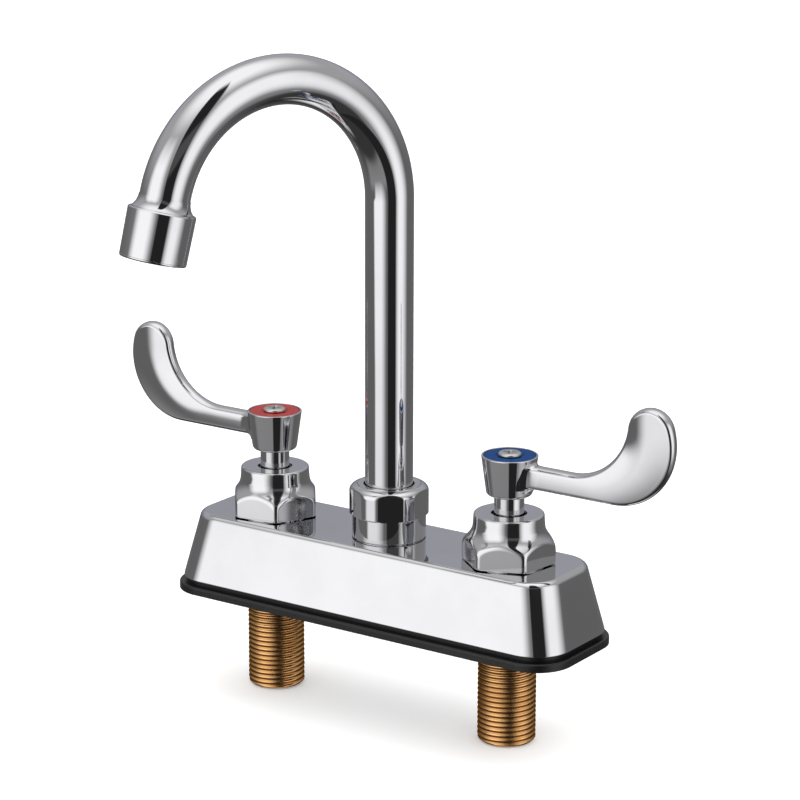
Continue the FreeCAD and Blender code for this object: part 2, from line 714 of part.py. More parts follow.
def spout_tube():
    """Bent tube: upright, half-round gooseneck and a short tail."""
    section = Part.Face(Part.Wire(Part.makeCircle(TUBE_R, V(0, 0, BEND_START_Z))))
    section = section.cut(Part.Face(Part.Wire(Part.makeCircle(TUBE_BORE_R, V(0, 0, BEND_START_Z)))))
    upright = section.extrude(V(0, 0, TUBE_FOOT - BEND_START_Z))
    pivot = V(BEND_R, 0, BEND_START_Z)
    bend = section.revolve(pivot, V(0, 1, 0), BEND_ANGLE)
    section.rotate(pivot, V(0, 1, 0), BEND_ANGLE)
    angle = math.radians(BEND_ANGLE)
    tail = section.extrude(V(math.sin(angle), 0, math.cos(angle)) * TUBE_TAIL)
    return at_spout(upright.fuse([bend, tail]).removeSplitter())


def collar_seal_levels():
    return [COLLAR_SEAL_Z, COLLAR_SEAL_Z - COLLAR_SEAL_PITCH]


def spout_collar():
    """Swivel foot brazed to the tube: sealed spigot, flange under the nut and a socket for the tube."""
    foot = FLANGE_FOOT - COLLAR_SPIGOT
    top = FLANGE_TOP + COLLAR_SLEEVE_HEIGHT
    collar = turned(
        (COLLAR_BORE_R, foot), (SPIGOT_R, foot), (SPIGOT_R, FLANGE_FOOT), (COLLAR_R, FLANGE_FOOT),
        (COLLAR_R, FLANGE_TOP), (COLLAR_SLEEVE_R, FLANGE_TOP), (COLLAR_SLEEVE_R, top),
        (COLLAR_SOCKET_R, top), (COLLAR_SOCKET_R, TUBE_FOOT), (COLLAR_BORE_R, TUBE_FOOT),
    )
    for z in collar_seal_levels():
        collar = collar.cut(seal_groove(BOSS_BORE_R - SEAL_GAP, COLLAR_SEAL, z, SPIGOT_R))
    return at_spout(collar)


def collar_o_rings():
    rings = [seal_ring(BOSS_BORE_R - SEAL_GAP, COLLAR_SEAL, z) for z in collar_seal_levels()]
    return at_spout(Part.makeCompound(rings))


def swivel_washer():
    return at_riser(ring(COLLAR_SLEEVE_R + FREE, COLLAR_R, FLANGE_TOP + RUNNING, NUT_SEAT))


def spout_nut():
    """Coupling nut: round skirt, band with six wrench flats, rolled shoulder and a ring round the tube."""
    skirt = turned(
        (0, 0), (NUT_SKIRT_R - NUT_EDGE, 0), (NUT_SKIRT_R, NUT_EDGE),
        (NUT_SKIRT_R, NUT_BAND_Z), (0, NUT_BAND_Z),
    )
    shoulder = (NUT_BAND_R, NUT_SHOULDER_Z)
    brow = (NUT_RING_R, NUT_HEIGHT - NUT_EDGE / 2)
    sides = chain([
        brow, (NUT_RING_R - NUT_EDGE / 2, NUT_HEIGHT), (0, NUT_HEIGHT), (0, NUT_BAND_Z),
        (NUT_BAND_R - NUT_EDGE, NUT_BAND_Z), (NUT_BAND_R, NUT_BAND_Z + NUT_EDGE), shoulder,
    ])
    band = revolved(sides + [curve([shoulder, brow], (0, 1), (-1, 0.25))])
    band = band.common(hexagon(NUT_FLATS, NUT_BAND_Z, NUT_HEIGHT, NUT_TURN))
    nut = skirt.fuse(band)
    nut = nut.cut([cylinder(NUT_BORE_R, 0, NUT_SEAT), cylinder(NUT_HOLE_R, 0, NUT_HEIGHT)])
    return at_riser(nut.removeSplitter())


def outlet_adapter():
    """Flared end piece brazed to the tube, with the aerator's thread below the flare."""
    lip = (TUBE_R + FLARE_LIP, FLARE_START)
    rim = (FLARE_R, FLARE_END)
    inside = chain([
        rim, (ADAPTER_THREAD_R, FLARE_END), (ADAPTER_THREAD_R, ADAPTER_END), (TUBE_BORE_R, ADAPTER_END),
        (TUBE_BORE_R, TUBE_TAIL), (TUBE_R + RUNNING, TUBE_TAIL), (TUBE_R + RUNNING, FLARE_START), lip,
    ])
    return at_outlet(revolved(inside + [curve([lip, rim], (0, 1), (1, 0.8))]))


def aerator_shell():
    """Plain cap with a slight taper, screwed to the adapter; its lip holds the insert."""
    return at_outlet(turned(
        (SHELL_BORE_R, SHELL_START), (SHELL_R - SHELL_EDGE, SHELL_START),
        (SHELL_R, SHELL_START + SHELL_EDGE), (SHELL_END_R, SHELL_END - SHELL_EDGE),
        (SHELL_END_R - SHELL_EDGE, SHELL_END), (SHELL_LIP_R, SHELL_END),
        (SHELL_LIP_R, LIP_SEAT), (SHELL_BORE_R, LIP_SEAT),
    ))


def aerator_washer():
    return at_outlet(ring(AERATOR_WASHER_BORE_R, INSERT_R, ADAPTER_END, SCREEN_TOP))


def aerator_screen():
    """Perforated inlet screen."""
    screen = cylinder(INSERT_R, SCREEN_TOP, INSERT_TOP)
    pitch = AERATOR_WASHER_BORE_R / (SCREEN_RINGS + 0.5)
    holes = []
    for row in range(1, SCREEN_RINGS + 1):
        for step in range(6 * row):
            angle = 2 * math.pi * step / (6 * row)
            hole = cylinder(SCREEN_HOLE_R, SCREEN_TOP, INSERT_TOP)
            hole.translate(V(row * pitch * math.cos(angle), row * pitch * math.sin(angle), 0))
            holes.append(hole)
    return at_outlet(screen.cut(holes))


def aerator_insert():
    """Flow insert: cup with a ring of jets in its plate and crossed vanes at its mouth."""
    cup = cylinder(INSERT_R, INSERT_TOP, LIP_SEAT)
    inner_r = SHELL_LIP_R - INSERT_WALL
    hollow = cylinder(inner_r, INSERT_TOP + INSERT_PLATE, LIP_SEAT)
    middle = (INSERT_TOP + LIP_SEAT) / 2
    vanes = []
    for step in range(INSERT_VANES):
        corner = V(-inner_r, -INSERT_VANE / 2, middle)
        vane = Part.makeBox(2 * inner_r, INSERT_VANE, LIP_SEAT - middle, corner)
        vane.rotate(V(0, 0, 0), V(0, 0, 1), 180 * step / INSERT_VANES)
        vanes.append(vane)
    grid = vanes[0].fuse(vanes[1:]).common(cylinder(inner_r, middle, LIP_SEAT))
    jets = []
    for step in range(INSERT_JETS):
        angle = 2 * math.pi * step / INSERT_JETS
        jet = cylinder(INSERT_JET_R, INSERT_TOP, INSERT_TOP + INSERT_PLATE)
        jet.translate(V(INSERT_JET_CIRCLE_R * math.cos(angle), INSERT_JET_CIRCLE_R * math.sin(angle), 0))
        jets.append(jet)
    return at_outlet(cup.cut([hollow] + jets).fuse(grid).removeSplitter())


def faucet():
    """Every piece by name."""
    pieces = {
        "deck_body": deck_body(),
        "base_gasket": base_gasket(),
        "spout_nut": spout_nut(),
        "swivel_washer": swivel_washer(),
        "spout_tube": spout_tube(),
        "spout_collar": spout_collar(),
        "collar_o_rings": collar_o_rings(),
        "outlet_adapter": outlet_adapter(),
        "aerator_shell": aerator_shell(),
        "aerator_washer": aerator_washer(),
        "aerator_screen": aerator_screen(),
        "aerator_insert": aerator_insert(),
    }
    alike = {
        "shank": shank(),
        "cartridge_sleeve": cartridge_sleeve(),
        "sleeve_o_ring": sleeve_o_ring(),
        "fixed_disc": fixed_disc(),
        "seat_seal": seat_seal(),
        "thrust_washer": thrust_washer(),
        "stem": stem(),
        "stem_o_rings": stem_o_rings(),
        "stem_circlip": stem_circlip(),
        "moving_disc": moving_disc(),
        "handle": handle(),
        "index_disc": index_disc(),
        "handle_screw": handle_screw(),
    }
    for name, side, turn, hex_turn in (("hot", -1, 180, HOT_HEX_TURN), ("cold", 1, 0, COLD_HEX_TURN)):
        pieces[name + "_bonnet"] = at_valve(bonnet(hex_turn), side)
        for piece, shape in alike.items():
            pieces[name + "_" + piece] = at_valve(shape, side, turn)
    return pieces


os.makedirs("parts", exist_ok=True)
for node, shape in faucet().items():
    shape.exportStep("parts/" + node + ".step")
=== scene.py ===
import json
import math

import bmesh
import bpy
from bpy.props import FloatProperty, FloatVectorProperty, IntProperty, PointerProperty
from mathutils import Matrix, Vector
from mathutils.geometry import interpolate_bezier


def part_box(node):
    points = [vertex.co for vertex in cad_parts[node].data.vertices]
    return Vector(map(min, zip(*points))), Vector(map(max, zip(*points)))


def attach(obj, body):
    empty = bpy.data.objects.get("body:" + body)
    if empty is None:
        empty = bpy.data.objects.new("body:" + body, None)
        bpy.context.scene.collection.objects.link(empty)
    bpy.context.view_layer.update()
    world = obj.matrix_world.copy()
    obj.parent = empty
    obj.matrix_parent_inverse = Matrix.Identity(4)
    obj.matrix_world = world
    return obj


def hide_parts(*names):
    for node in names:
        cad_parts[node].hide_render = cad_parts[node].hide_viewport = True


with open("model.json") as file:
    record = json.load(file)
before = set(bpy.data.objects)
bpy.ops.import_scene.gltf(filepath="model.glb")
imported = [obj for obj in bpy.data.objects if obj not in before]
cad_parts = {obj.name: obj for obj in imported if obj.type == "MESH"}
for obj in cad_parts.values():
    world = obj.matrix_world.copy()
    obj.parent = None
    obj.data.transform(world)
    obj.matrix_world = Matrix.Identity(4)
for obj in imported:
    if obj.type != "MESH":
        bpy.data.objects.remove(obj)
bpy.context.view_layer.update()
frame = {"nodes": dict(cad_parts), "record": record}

bl_info = {
    "name": "Gooseneck faucet",
    "version": (1, 0, 0),
    "blender": (4, 5, 0),
    "location": "3D View > Sidebar > Faucet",
    "description": "Builds a deck faucet with a swivel gooseneck, wrist-blade handles and a studio",
    "category": "Add Mesh",
}

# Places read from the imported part, in metres
DECK_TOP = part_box("spout_nut")[0].z
BASE_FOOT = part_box("base_gasket")[1].z
SHANK_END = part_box("cold_shank")[0].z
VALVE_X = (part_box("cold_stem")[0].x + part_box("cold_stem")[1].x) / 2
VALVES = {"hot": -1, "cold": 1}
MM = 0.001


def length(name, default, words):
    """A length, given in millimetres and kept in metres."""
    return FloatProperty(name=name, description=words, default=default * MM, unit="LENGTH", precision=5)


def angle(name, default, words):
    """An angle, given in degrees and kept in radians."""
    return FloatProperty(name=name, description=words, default=math.radians(default), subtype="ANGLE")


def share(name, default, words):
    """A number from 0 to 1."""
    return FloatProperty(name=name, description=words, default=default, min=0, max=1, subtype="FACTOR")


def tint(name, default, words):
    """A colour."""
    return FloatVectorProperty(
        name=name, description=words, default=default, min=0, max=1, subtype="COLOR"
    )


class FaucetSizes(bpy.types.PropertyGroup):
    """Sizes that a user would change."""

    tube_radius: length("Tube radius", 8.6, "Outer radius of the gooseneck")
    bend_radius: length("Bend radius", 45.5, "Radius of the gooseneck's middle line")
    bend_start: length("Bend start", 123.1, "Height of the bend over the base")
    bend_angle: angle("Bend angle", 166, "How far the gooseneck bends over")
    spout_turn: angle("Spout turn", 21.1, "Turn of the spout from straight ahead to the hot side")
    thread_pitch: length("Thread pitch", 1.814, "Distance from one turn of the inlet thread to the next")
    thread_depth: length("Thread depth", 0.4, "Depth of the inlet thread")
    corner_round: length("Corner radius", 14.0, "Radius of the base's corners at its foot, in plan")
    upper_corner: length("Upper corner radius", 12.6, "Radius of the base's corners at its top, in plan")
    edge_round: length("Edge radius", 2.2, "Radius of the base's upper edge")
    foot_round: length("Foot radius", 0.6, "Radius of the base's lower edge")
    end_lean: angle("End lean", 13.2, "Lean of the base's ends")
    face_lean: angle("Face lean", 10.8, "Lean of the base's front and back")
    flat_softness: length("Flat softness", 0.9, "Width over which the bonnets' flats run into the bell")
    blade_crown: length("Blade crown", 0.72, "How far the blade's faces are domed")
    round_steps: IntProperty(
        name="Round steps", description="Faces round a turned piece", default=160, min=32, max=512
    )


class FaucetFinishes(bpy.types.PropertyGroup):
    """Colours and gloss that a user would change."""

    chrome: tint("Chrome", (0.62, 0.62, 0.635), "Colour of the plated pieces")
    chrome_gloss: share("Chrome roughness", 0.035, "Roughness of the plated pieces")
    cast_gloss: share("Casting roughness", 0.06, "Roughness of the plated bonnets")
    handle_gloss: share("Handle roughness", 0.045, "Roughness of the handles")
    brass: tint("Brass", (0.82, 0.475, 0.2), "Colour of the raw brass")
    rubber: tint("Rubber", (0.004, 0.004, 0.0045), "Colour of the base gasket and the seals")
    hot: tint("Hot", (0.42, 0.023, 0.017), "Colour of the hot index disc")
    cold: tint("Cold", (0.002, 0.05, 0.2), "Colour of the cold index disc")
    steel: tint("Steel", (0.62, 0.6, 0.57), "Colour of screws, clips and screen")
    ceramic: tint("Ceramic", (0.82, 0.8, 0.75), "Colour of the valve discs")
    nylon: tint("Nylon", (0.78, 0.78, 0.75), "Colour of washers and flow insert")
    floor: tint("Floor", (0.97, 0.97, 0.97), "Colour of the studio floor")


def sizes():
    return bpy.context.scene.faucet_sizes


def finishes():
    return bpy.context.scene.faucet_finishes


class Value:
    """A shader socket that can be used in sums."""

    def __init__(self, graph, socket):
        self.graph = graph
        self.socket = socket

    def math(self, operation, *others):
        return self.graph.node("ShaderNodeMath", {"operation": operation}, self, *others)

    def __add__(self, other):
        return self.math("ADD", other)

    def __mul__(self, other):
        return self.math("MULTIPLY", other)

    def __sub__(self, other):
        return self.math("SUBTRACT", other)

    def __rsub__(self, other):
        return self.graph.node("ShaderNodeMath", {"operation": "SUBTRACT"}, other, self)

    __radd__ = __add__
    __rmul__ = __mul__


class Graph:
    """Builds the nodes of one material or of the world."""

    def __init__(self, tree):
        self.tree = tree

    def put(self, socket, value):
        if isinstance(value, Value):
            self.tree.links.new(value.socket, socket)
        elif socket.type == "RGBA" and len(value) == 3:
            socket.default_value = (*value, 1)
        else:
            socket.default_value = value

    def node(self, kind, settings=None, *inputs, out=0, **named):
        """Add a node: settings first, then its sockets in order, where None is left alone, or by name."""
        node = self.tree.nodes.new(kind)
        for key, value in (settings or {}).items():
            setattr(node, key, value)
        for socket, value in zip(node.inputs, inputs):
            if value is not None:
                self.put(socket, value)
        for key, value in named.items():
            self.put(node.inputs[key.replace("_", " ")], value)
        return Value(self, node.outputs[out])

    def mix(self, factor, first, second):
        """Blend two colours, whose sockets follow those for numbers and vectors."""
        between = [None] * 5
        return self.node("ShaderNodeMix", {"data_type": "RGBA"}, factor, *between, first, second, out=2)

    def ramp(self, value, low, high, start=0.0, end=1.0):
        """Smooth step of a value from one number to another."""
        settings = {"interpolation_type": "SMOOTHSTEP"}
        return self.node("ShaderNodeMapRange", settings, value, low, high, start, end)


class Finish(Graph):
    """A material with one Principled shader, in the part's own coordinates."""

    def __init__(self, name):
        self.material = bpy.data.materials.new(name)
        self.material.use_nodes = True
        super().__init__(self.material.node_tree)
        self.shader = self.tree.nodes["Principled BSDF"]
        self.place = self.node("ShaderNodeTexCoord", out=3)

    def noise(self, scale, detail=2.0, rough=0.5):
        return self.node(
            "ShaderNodeTexNoise", None, Vector=self.place, Scale=scale, Detail=detail, Roughness=rough
        )

    def apart(self, out):
        """One of the coordinates X, Y and Z, in metres."""
        return self.node("ShaderNodeSeparateXYZ", None, self.place, out=out)

    def bump(self, height, depth, strength=1.0):
        """Relief of a given depth in metres."""
        normal = self.node("ShaderNodeBump", None, Strength=strength, Distance=depth, Height=height)
        self.set(Normal=normal)

    def set(self, **named):
        for key, value in named.items():
            self.put(self.shader.inputs[key.replace("_", " ")], value)


def chrome_finish(name, roughness, wave):
    """Bright plating over a casting: nearly a mirror, with a slow wave and a faint bloom."""
    made = Finish(name)
    bloom = made.ramp(made.noise(38, 4, 0.6), 0.35, 0.7)
    fine = made.noise(900, 2, 0.5)
    colour = finishes().chrome
    dull = [0.955 * part for part in colour]
    made.set(
        Base_Color=made.mix(bloom, colour, dull),
        Metallic=1.0,
        Roughness=roughness + bloom * (0.5 * roughness) + fine * (0.3 * roughness),
    )
    made.bump(made.noise(55, 1, 0.4), wave, 0.6)
    return made.material


def brass_finish():
    """Raw machined brass: turning lines, painted shade that makes the roots of the thread darker and
    browner, stained in places.
    """
    made = Finish("Brass")
    along = made.apart(2)
    lines = made.node("ShaderNodeTexNoise", {"noise_dimensions": "1D"}, W=along * 9000, Detail=1.0)
    stain = made.ramp(made.noise(130, 4, 0.6), 0.42, 0.68)
    aside = made.apart(0).math("ABSOLUTE") - VALVE_X
    across = made.apart(1)
    radius = (aside * aside + across * across).math("SQRT")
    # Painted shade: this mask runs from the thread's roots up to its crests, and the roots get a darker,
    # browner colour
    crest = made.ramp(radius, 9.95 * MM, 10.3 * MM)
    light = finishes().brass
    # Colour of the painted shade in the thread's roots
    deep = [part * shade for part, shade in zip(light, (0.72, 0.6, 0.5))]
    worn = [part * shade for part, shade in zip(light, (0.8, 0.7, 0.55))]
    coat = made.mix(stain * 0.6, light, worn)
    made.set(
        Base_Color=made.mix(crest, deep, coat),
        Metallic=1.0,
        Roughness=0.19 + stain * 0.08 + lines * 0.05,
        Specular_Tint=(0.3, 0.2, 0.13),
    )
    made.bump(lines, 0.02 * MM, 0.5)
    return made.material


def rubber_finish(name, colour):
    """Moulded rubber: fine grain, slightly dusty."""
    made = Finish(name)
    grain = made.noise(2600, 3, 0.6)
    dust = made.ramp(made.noise(70, 4, 0.6), 0.45, 0.75)
    pale = [part * 2.2 + 0.004 for part in colour]
    made.set(Base_Color=made.mix(dust * 0.6, colour, pale), Roughness=0.26 + grain * 0.16 + dust * 0.1)
    made.set(Specular_IOR_Level=0.45)
    made.bump(grain, 0.03 * MM, 0.5)
    return made.material


def plastic_finish(name, colour, roughness, shine=0.25):
    """Moulded plastic: slight mottling and orange-peel gloss."""
    made = Finish(name)
    mottle = made.noise(420, 3, 0.55)
    peel = made.noise(1900, 2, 0.5)
    dark = [part * 0.78 for part in colour]
    made.set(Base_Color=made.mix(mottle, dark, colour), Roughness=roughness + peel * 0.12)
    made.set(Specular_IOR_Level=shine)
    made.bump(peel, 0.012 * MM, 0.6)
    return made.material


def steel_finish():
    """Bright steel with fine drawn lines and a few darker specks."""
    made = Finish("Steel")
    drawn = made.noise(3200, 3, 0.7)
    speck = made.ramp(made.noise(1400, 2, 0.5), 0.62, 0.75)
    colour = finishes().steel
    dark = [part * 0.55 for part in colour]
    made.set(
        Base_Color=made.mix(speck * 0.6, colour, dark), Metallic=1.0, Roughness=0.2 + drawn * 0.2
    )
    made.bump(drawn, 0.01 * MM, 0.5)
    return made.material


def ceramic_finish():
    """Lapped ceramic: pale, smooth and a little cloudy."""
    made = Finish("Ceramic")
    cloud = made.noise(240, 3, 0.6)
    colour = finishes().ceramic
    cool = [part * 0.93 for part in colour]
    made.set(Base_Color=made.mix(cloud, cool, colour), Roughness=0.14 + cloud * 0.14)
    return made.material


MADE = {}


def finish(slot):
    """The material of one of the record's slots, made when it is first needed."""
    makers = {
        "chrome": lambda: chrome_finish("Chrome", finishes().chrome_gloss, 0.05 * MM),
        "cast_chrome": lambda: chrome_finish("Cast_chrome", finishes().cast_gloss, 0.05 * MM),
        "handle_chrome": lambda: chrome_finish("Handle_chrome", finishes().handle_gloss, 0.09 * MM),
        "brass": brass_finish,
        "gasket_rubber": lambda: rubber_finish("Gasket_rubber", finishes().rubber),
        "seal_rubber": lambda: rubber_finish("Seal_rubber", finishes().rubber),
        "ceramic": ceramic_finish,
        "red_plastic": lambda: plastic_finish("Red_plastic", finishes().hot, 0.32),
        "blue_plastic": lambda: plastic_finish("Blue_plastic", finishes().cold, 0.32, 0.04),
        "steel": steel_finish,
        "white_plastic": lambda: plastic_finish("White_plastic", finishes().nylon, 0.4),
    }
    if slot not in MADE:
        MADE[slot] = makers[slot]()
    return MADE[slot]


def mm(value):
    """Metres to millimetres, the unit in which the pieces are modelled."""
    return value / MM


def verts_of(parts):
    return [part for part in parts if isinstance(part, bmesh.types.BMVert)]


def edges_of(parts):
    return [part for part in parts if isinstance(part, bmesh.types.BMEdge)]


def rounded(corners):
    """A half section as (radius, height) points; a third number at a corner is its rounding."""
    points = []
    for index, corner in enumerate(corners):
        here = Vector(corner[:2])
        if len(corner) == 2:
            points.append(here)
            continue
        before = (Vector(corners[index - 1][:2]) - here).normalized()
        after = (Vector(corners[(index + 1) % len(corners)][:2]) - here).normalized()
        half = before.angle(after) / 2
        start = here + before * corner[2] / math.tan(half)
        middle = here + (before + after).normalized() * corner[2] / math.sin(half)
        sweep = math.pi - 2 * half
        steps = max(3, math.ceil(math.degrees(sweep) / 12))
        way = 1 if before.x * after.y - before.y * after.x < 0 else -1
        for step in range(steps + 1):
            turn = Matrix.Rotation(way * sweep * step / steps, 2)
            points.append(middle + turn @ (start - middle))
    return points


def swept(start, start_way, end, end_way, steps):
    """Points of a smooth curve between two points of a half section, without its ends."""
    first, leave, arrive, last = [Vector((*point, 0)) for point in (start, start_way, end_way, end)]
    curve = interpolate_bezier(first, first + leave, last - arrive, last, steps)
    return [(point.x, point.y) for point in curve[1:-1]]


def turned(mesh, corners, closed=True, steps=None):
    """Spin a half section about the Z axis."""
    points = rounded(corners)
    verts = [mesh.verts.new((radius, 0, height)) for radius, height in points]
    pairs = list(zip(verts, verts[1:]))
    if closed:
        pairs.append((verts[-1], verts[0]))
    edges = [mesh.edges.new(pair) for pair in pairs]
    bmesh.ops.spin(
        mesh, geom=verts + edges, cent=(0, 0, 0), axis=(0, 0, 1), angle=2 * math.pi,
        steps=steps or sizes().round_steps, use_merge=True,
    )


def hexagon_reach(flats, corner, off):
    """From the middle of a round-cornered hexagon to its edge, at an angle off a flat's middle."""
    inner = flats / 2 - corner
    if flats / 2 * math.tan(off) < inner * math.tan(math.pi / 6):
        return flats / 2 / math.cos(off)
    middle = inner / math.cos(math.pi / 6)
    aside = math.pi / 6 - off
    return middle * math.cos(aside) + math.sqrt(corner ** 2 - (middle * math.sin(aside)) ** 2)


def flatten(mesh, flats, corner, turn, lowest, soft):
    """Press six wrench flats into what is turned, above a height, with rounded corners and soft edges."""
    for vert in mesh.verts:
        reach = vert.co.to_2d().length
        if vert.co.z < lowest or reach < flats / 4:
            continue
        off = (math.degrees(math.atan2(vert.co.y, vert.co.x)) - turn + 30) % 60 - 30
        room = hexagon_reach(flats, corner, math.radians(abs(off)))
        blend = min(max(0.5 + 0.5 * (room - reach) / soft, 0), 1)
        vert.co.xy *= (room + (reach - room) * blend - soft * blend * (1 - blend)) / reach


def at_valve(side, turned_round=False):
    """Where the pieces of a valve stand, with a handle's arm pointing outwards."""
    turn = math.pi if turned_round and side < 0 else 0
    return Matrix.Translation((side * VALVE_X, 0, DECK_TOP)) @ Matrix.Rotation(turn, 4, "Z")


def at_spout():
    turn = -math.pi / 2 - sizes().spout_turn
    return Matrix.Translation((0, 0, DECK_TOP)) @ Matrix.Rotation(turn, 4, "Z")


def at_outlet():
    """Where the gooseneck's bend ends, with Z along the flow."""
    bend = sizes().bend_angle
    radius = sizes().bend_radius
    end = Vector((radius - radius * math.cos(bend), 0, sizes().bend_start + radius * math.sin(bend)))
    return at_spout() @ Matrix.Translation(end) @ Matrix.Rotation(bend, 4, "Y")


def piece(mesh, name, slot, body, nodes, place, crease=32, look=None):
    """Make a part of the faucet from a mesh in millimetres and put it in its place."""
    bmesh.ops.remove_doubles(mesh, verts=mesh.verts, dist=0.0005)
    bmesh.ops.recalc_face_normals(mesh, faces=mesh.faces)
    for face in mesh.faces:
        face.smooth = True
    for edge in mesh.edges:
        if edge.is_manifold and edge.calc_face_angle() > math.radians(crease):
            edge.smooth = False
    bmesh.ops.transform(mesh, matrix=place @ Matrix.Scale(MM, 4), verts=mesh.verts)
    data = bpy.data.meshes.new(name)
    mesh.to_mesh(data)
    mesh.free()
    data.materials.append(finish(look or slot))
    made = bpy.data.objects.new(name, data)
    bpy.context.collection.objects.link(made)
    even = made.modifiers.new("Even normals", "WEIGHTED_NORMAL")
    even.keep_sharp = True
    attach(made, body)
    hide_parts(*nodes)
    return made


def carve(made, cutter):
    """Cut a closed mesh, in millimetres, out of a piece that stands at the same place."""
    data = bpy.data.meshes.new("cutter")
    cutter.to_mesh(data)
    cutter.free()
    tool = bpy.data.objects.new("cutter", data)
    bpy.context.collection.objects.link(tool)
    cut = made.modifiers.new("Cut", "BOOLEAN")
    cut.object = tool
    cut.solver = "EXACT"
    made.modifiers.move(len(made.modifiers) - 1, 0)
    even = made.modifiers["Even normals"]
    even.show_viewport = False
    graph = bpy.context.evaluated_depsgraph_get()
    carved = bpy.data.meshes.new_from_object(made.evaluated_get(graph))
    even.show_viewport = True
    made.modifiers.remove(cut)
    made.data = carved
    bpy.data.objects.remove(tool)


class FAUCET_OT_base(bpy.types.Operator):
    """Cast base with leaning walls, rounded corners and the feet of the two valve pockets"""

    bl_idname = "faucet.base"
    bl_label = "Base"

    def execute(self, context):
        size = sizes()
        foot = mm(BASE_FOOT - DECK_TOP)
        corner = mm(size.corner_round)
        upper = mm(size.upper_corner)
        low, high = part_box("deck_body")
        leans = Vector((size.end_lean, size.face_lean))
        short = [mm(size.foot_round) * (1 / math.tan((math.pi / 2 - lean) / 2) - 1) for lean in leans]
        half = (high - low).to_2d() / MM / 2 + Vector(short)
        over = half + Vector([foot * math.tan(lean) for lean in leans])
        mesh = bmesh.new()
        bmesh.ops.create_grid(mesh, x_segments=1, y_segments=1, size=1)
        bmesh.ops.transform(mesh, matrix=Matrix.Diagonal((*half, 1, 1)), verts=mesh.verts)
        bmesh.ops.translate(mesh, verts=mesh.verts, vec=(0, 0, foot))
        rounding = {"profile": 0.5, "material": -1, "clamp_overlap": True}
        bmesh.ops.bevel(
            mesh, geom=mesh.verts[:], affect="VERTICES", offset=corner, segments=20, **rounding
        )
        raised = bmesh.ops.extrude_face_region(mesh, geom=mesh.faces[:], use_keep_orig=True)["geom"]
        for vert in verts_of(raised):
            for axis in (0, 1):
                side = math.copysign(1, vert.co[axis])
                aside = vert.co[axis] * side - (half[axis] - corner)
                vert.co[axis] = side * (over[axis] - upper + aside * upper / corner)
            vert.co.z = 0
        bmesh.ops.recalc_face_normals(mesh, faces=mesh.faces)
        lean = (size.end_lean + size.face_lean) / 2
        for height, radius, inside, segments in (
            (0, size.edge_round, math.pi / 2 + lean, 8), (foot, size.foot_round, math.pi / 2 - lean, 4)
        ):
            rim = [e for e in mesh.edges if all(abs(v.co.z - height) < 0.001 for v in e.verts)]
            offset = mm(radius) / math.tan(inside / 2)
            bmesh.ops.bevel(mesh, geom=rim, affect="EDGES", offset=offset, segments=segments, **rounding)
        inner, outer = 10.6, 14.2
        root, end = foot + 0.2, foot - 3.2
        pocket = [(inner, root), (outer, root), (outer, end, 0.3), (inner, end)]
        for side in VALVES.values():
            known = set(mesh.verts)
            turned(mesh, pocket)
            new = [vert for vert in mesh.verts if vert not in known]
            bmesh.ops.translate(mesh, verts=new, vec=(side * mm(VALVE_X), 0, 0))
        place = Matrix.Translation((0, 0, DECK_TOP))
        piece(mesh, "base", "chrome", "faucet_body", ["deck_body"], place)
        return {"FINISHED"}


class FAUCET_OT_shanks(bpy.types.Operator):
    """Inlet shanks with a real helical thread"""

    bl_idname = "faucet.shanks"
    bl_label = "Inlet shanks"

    def execute(self, context):
        pitch = mm(sizes().thread_pitch)
        crest, bore, tenon, lead_in = 10.4, 6.6, 5.75, 0.35
        root = crest - mm(sizes().thread_depth)
        shoulder = mm(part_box("cold_shank")[1].z - DECK_TOP) - tenon
        end = mm(SHANK_END - DECK_TOP)
        turns = math.ceil((shoulder - end) / pitch) + 2
        mesh = bmesh.new()
        verts = []
        points = 12
        for step in range(points + 1):
            wave = 0.5 - 0.5 * math.cos(2 * math.pi * step / points)
            place = (root + (crest - root) * wave, 0, end + pitch * (step / points - 1))
            verts.append(mesh.verts.new(place))
        edges = [mesh.edges.new(pair) for pair in zip(verts, verts[1:])]
        round_steps = 72
        steps = round_steps * turns
        bmesh.ops.spin(
            mesh, geom=verts + edges, cent=(0, 0, 0), axis=(0, 0, 1),
            dvec=(0, 0, turns * pitch / steps), angle=2 * math.pi * turns, steps=steps,
        )
        bmesh.ops.remove_doubles(mesh, verts=mesh.verts, dist=0.001)
        for level, way in ((shoulder, 1), (end, -1)):
            parts = mesh.verts[:] + mesh.edges[:] + mesh.faces[:]
            bmesh.ops.bisect_plane(
                mesh, geom=parts, plane_co=(0, 0, level), plane_no=(0, 0, way), clear_outer=True
            )
        for vert in mesh.verts:
            room = min(crest, root - lead_in + (vert.co.z - end))
            reach = vert.co.to_2d().length
            if reach > room:
                vert.co.xy *= room / reach
        for level in (shoulder, end):
            rim = [e for e in mesh.edges if e.is_boundary and abs(e.verts[0].co.z - level) < 0.01]
            hole = bmesh.ops.create_circle(
                mesh, radius=bore, segments=round_steps, matrix=Matrix.Translation((0, 0, level))
            )
            inner = {edge for vert in hole["verts"] for edge in vert.link_edges}
            bmesh.ops.triangle_fill(mesh, edges=rim + list(inner), use_beauty=True)
        bmesh.ops.bridge_loops(mesh, edges=[e for e in mesh.edges if e.is_boundary])
        for name, side in VALVES.items():
            shank = piece(
                mesh.copy(), name + "_inlet", "brass", "faucet_body", [name + "_shank"], at_valve(side),
                crease=40,
            )
            shank.modifiers.remove(shank.modifiers["Even normals"])
        mesh.free()
        return {"FINISHED"}


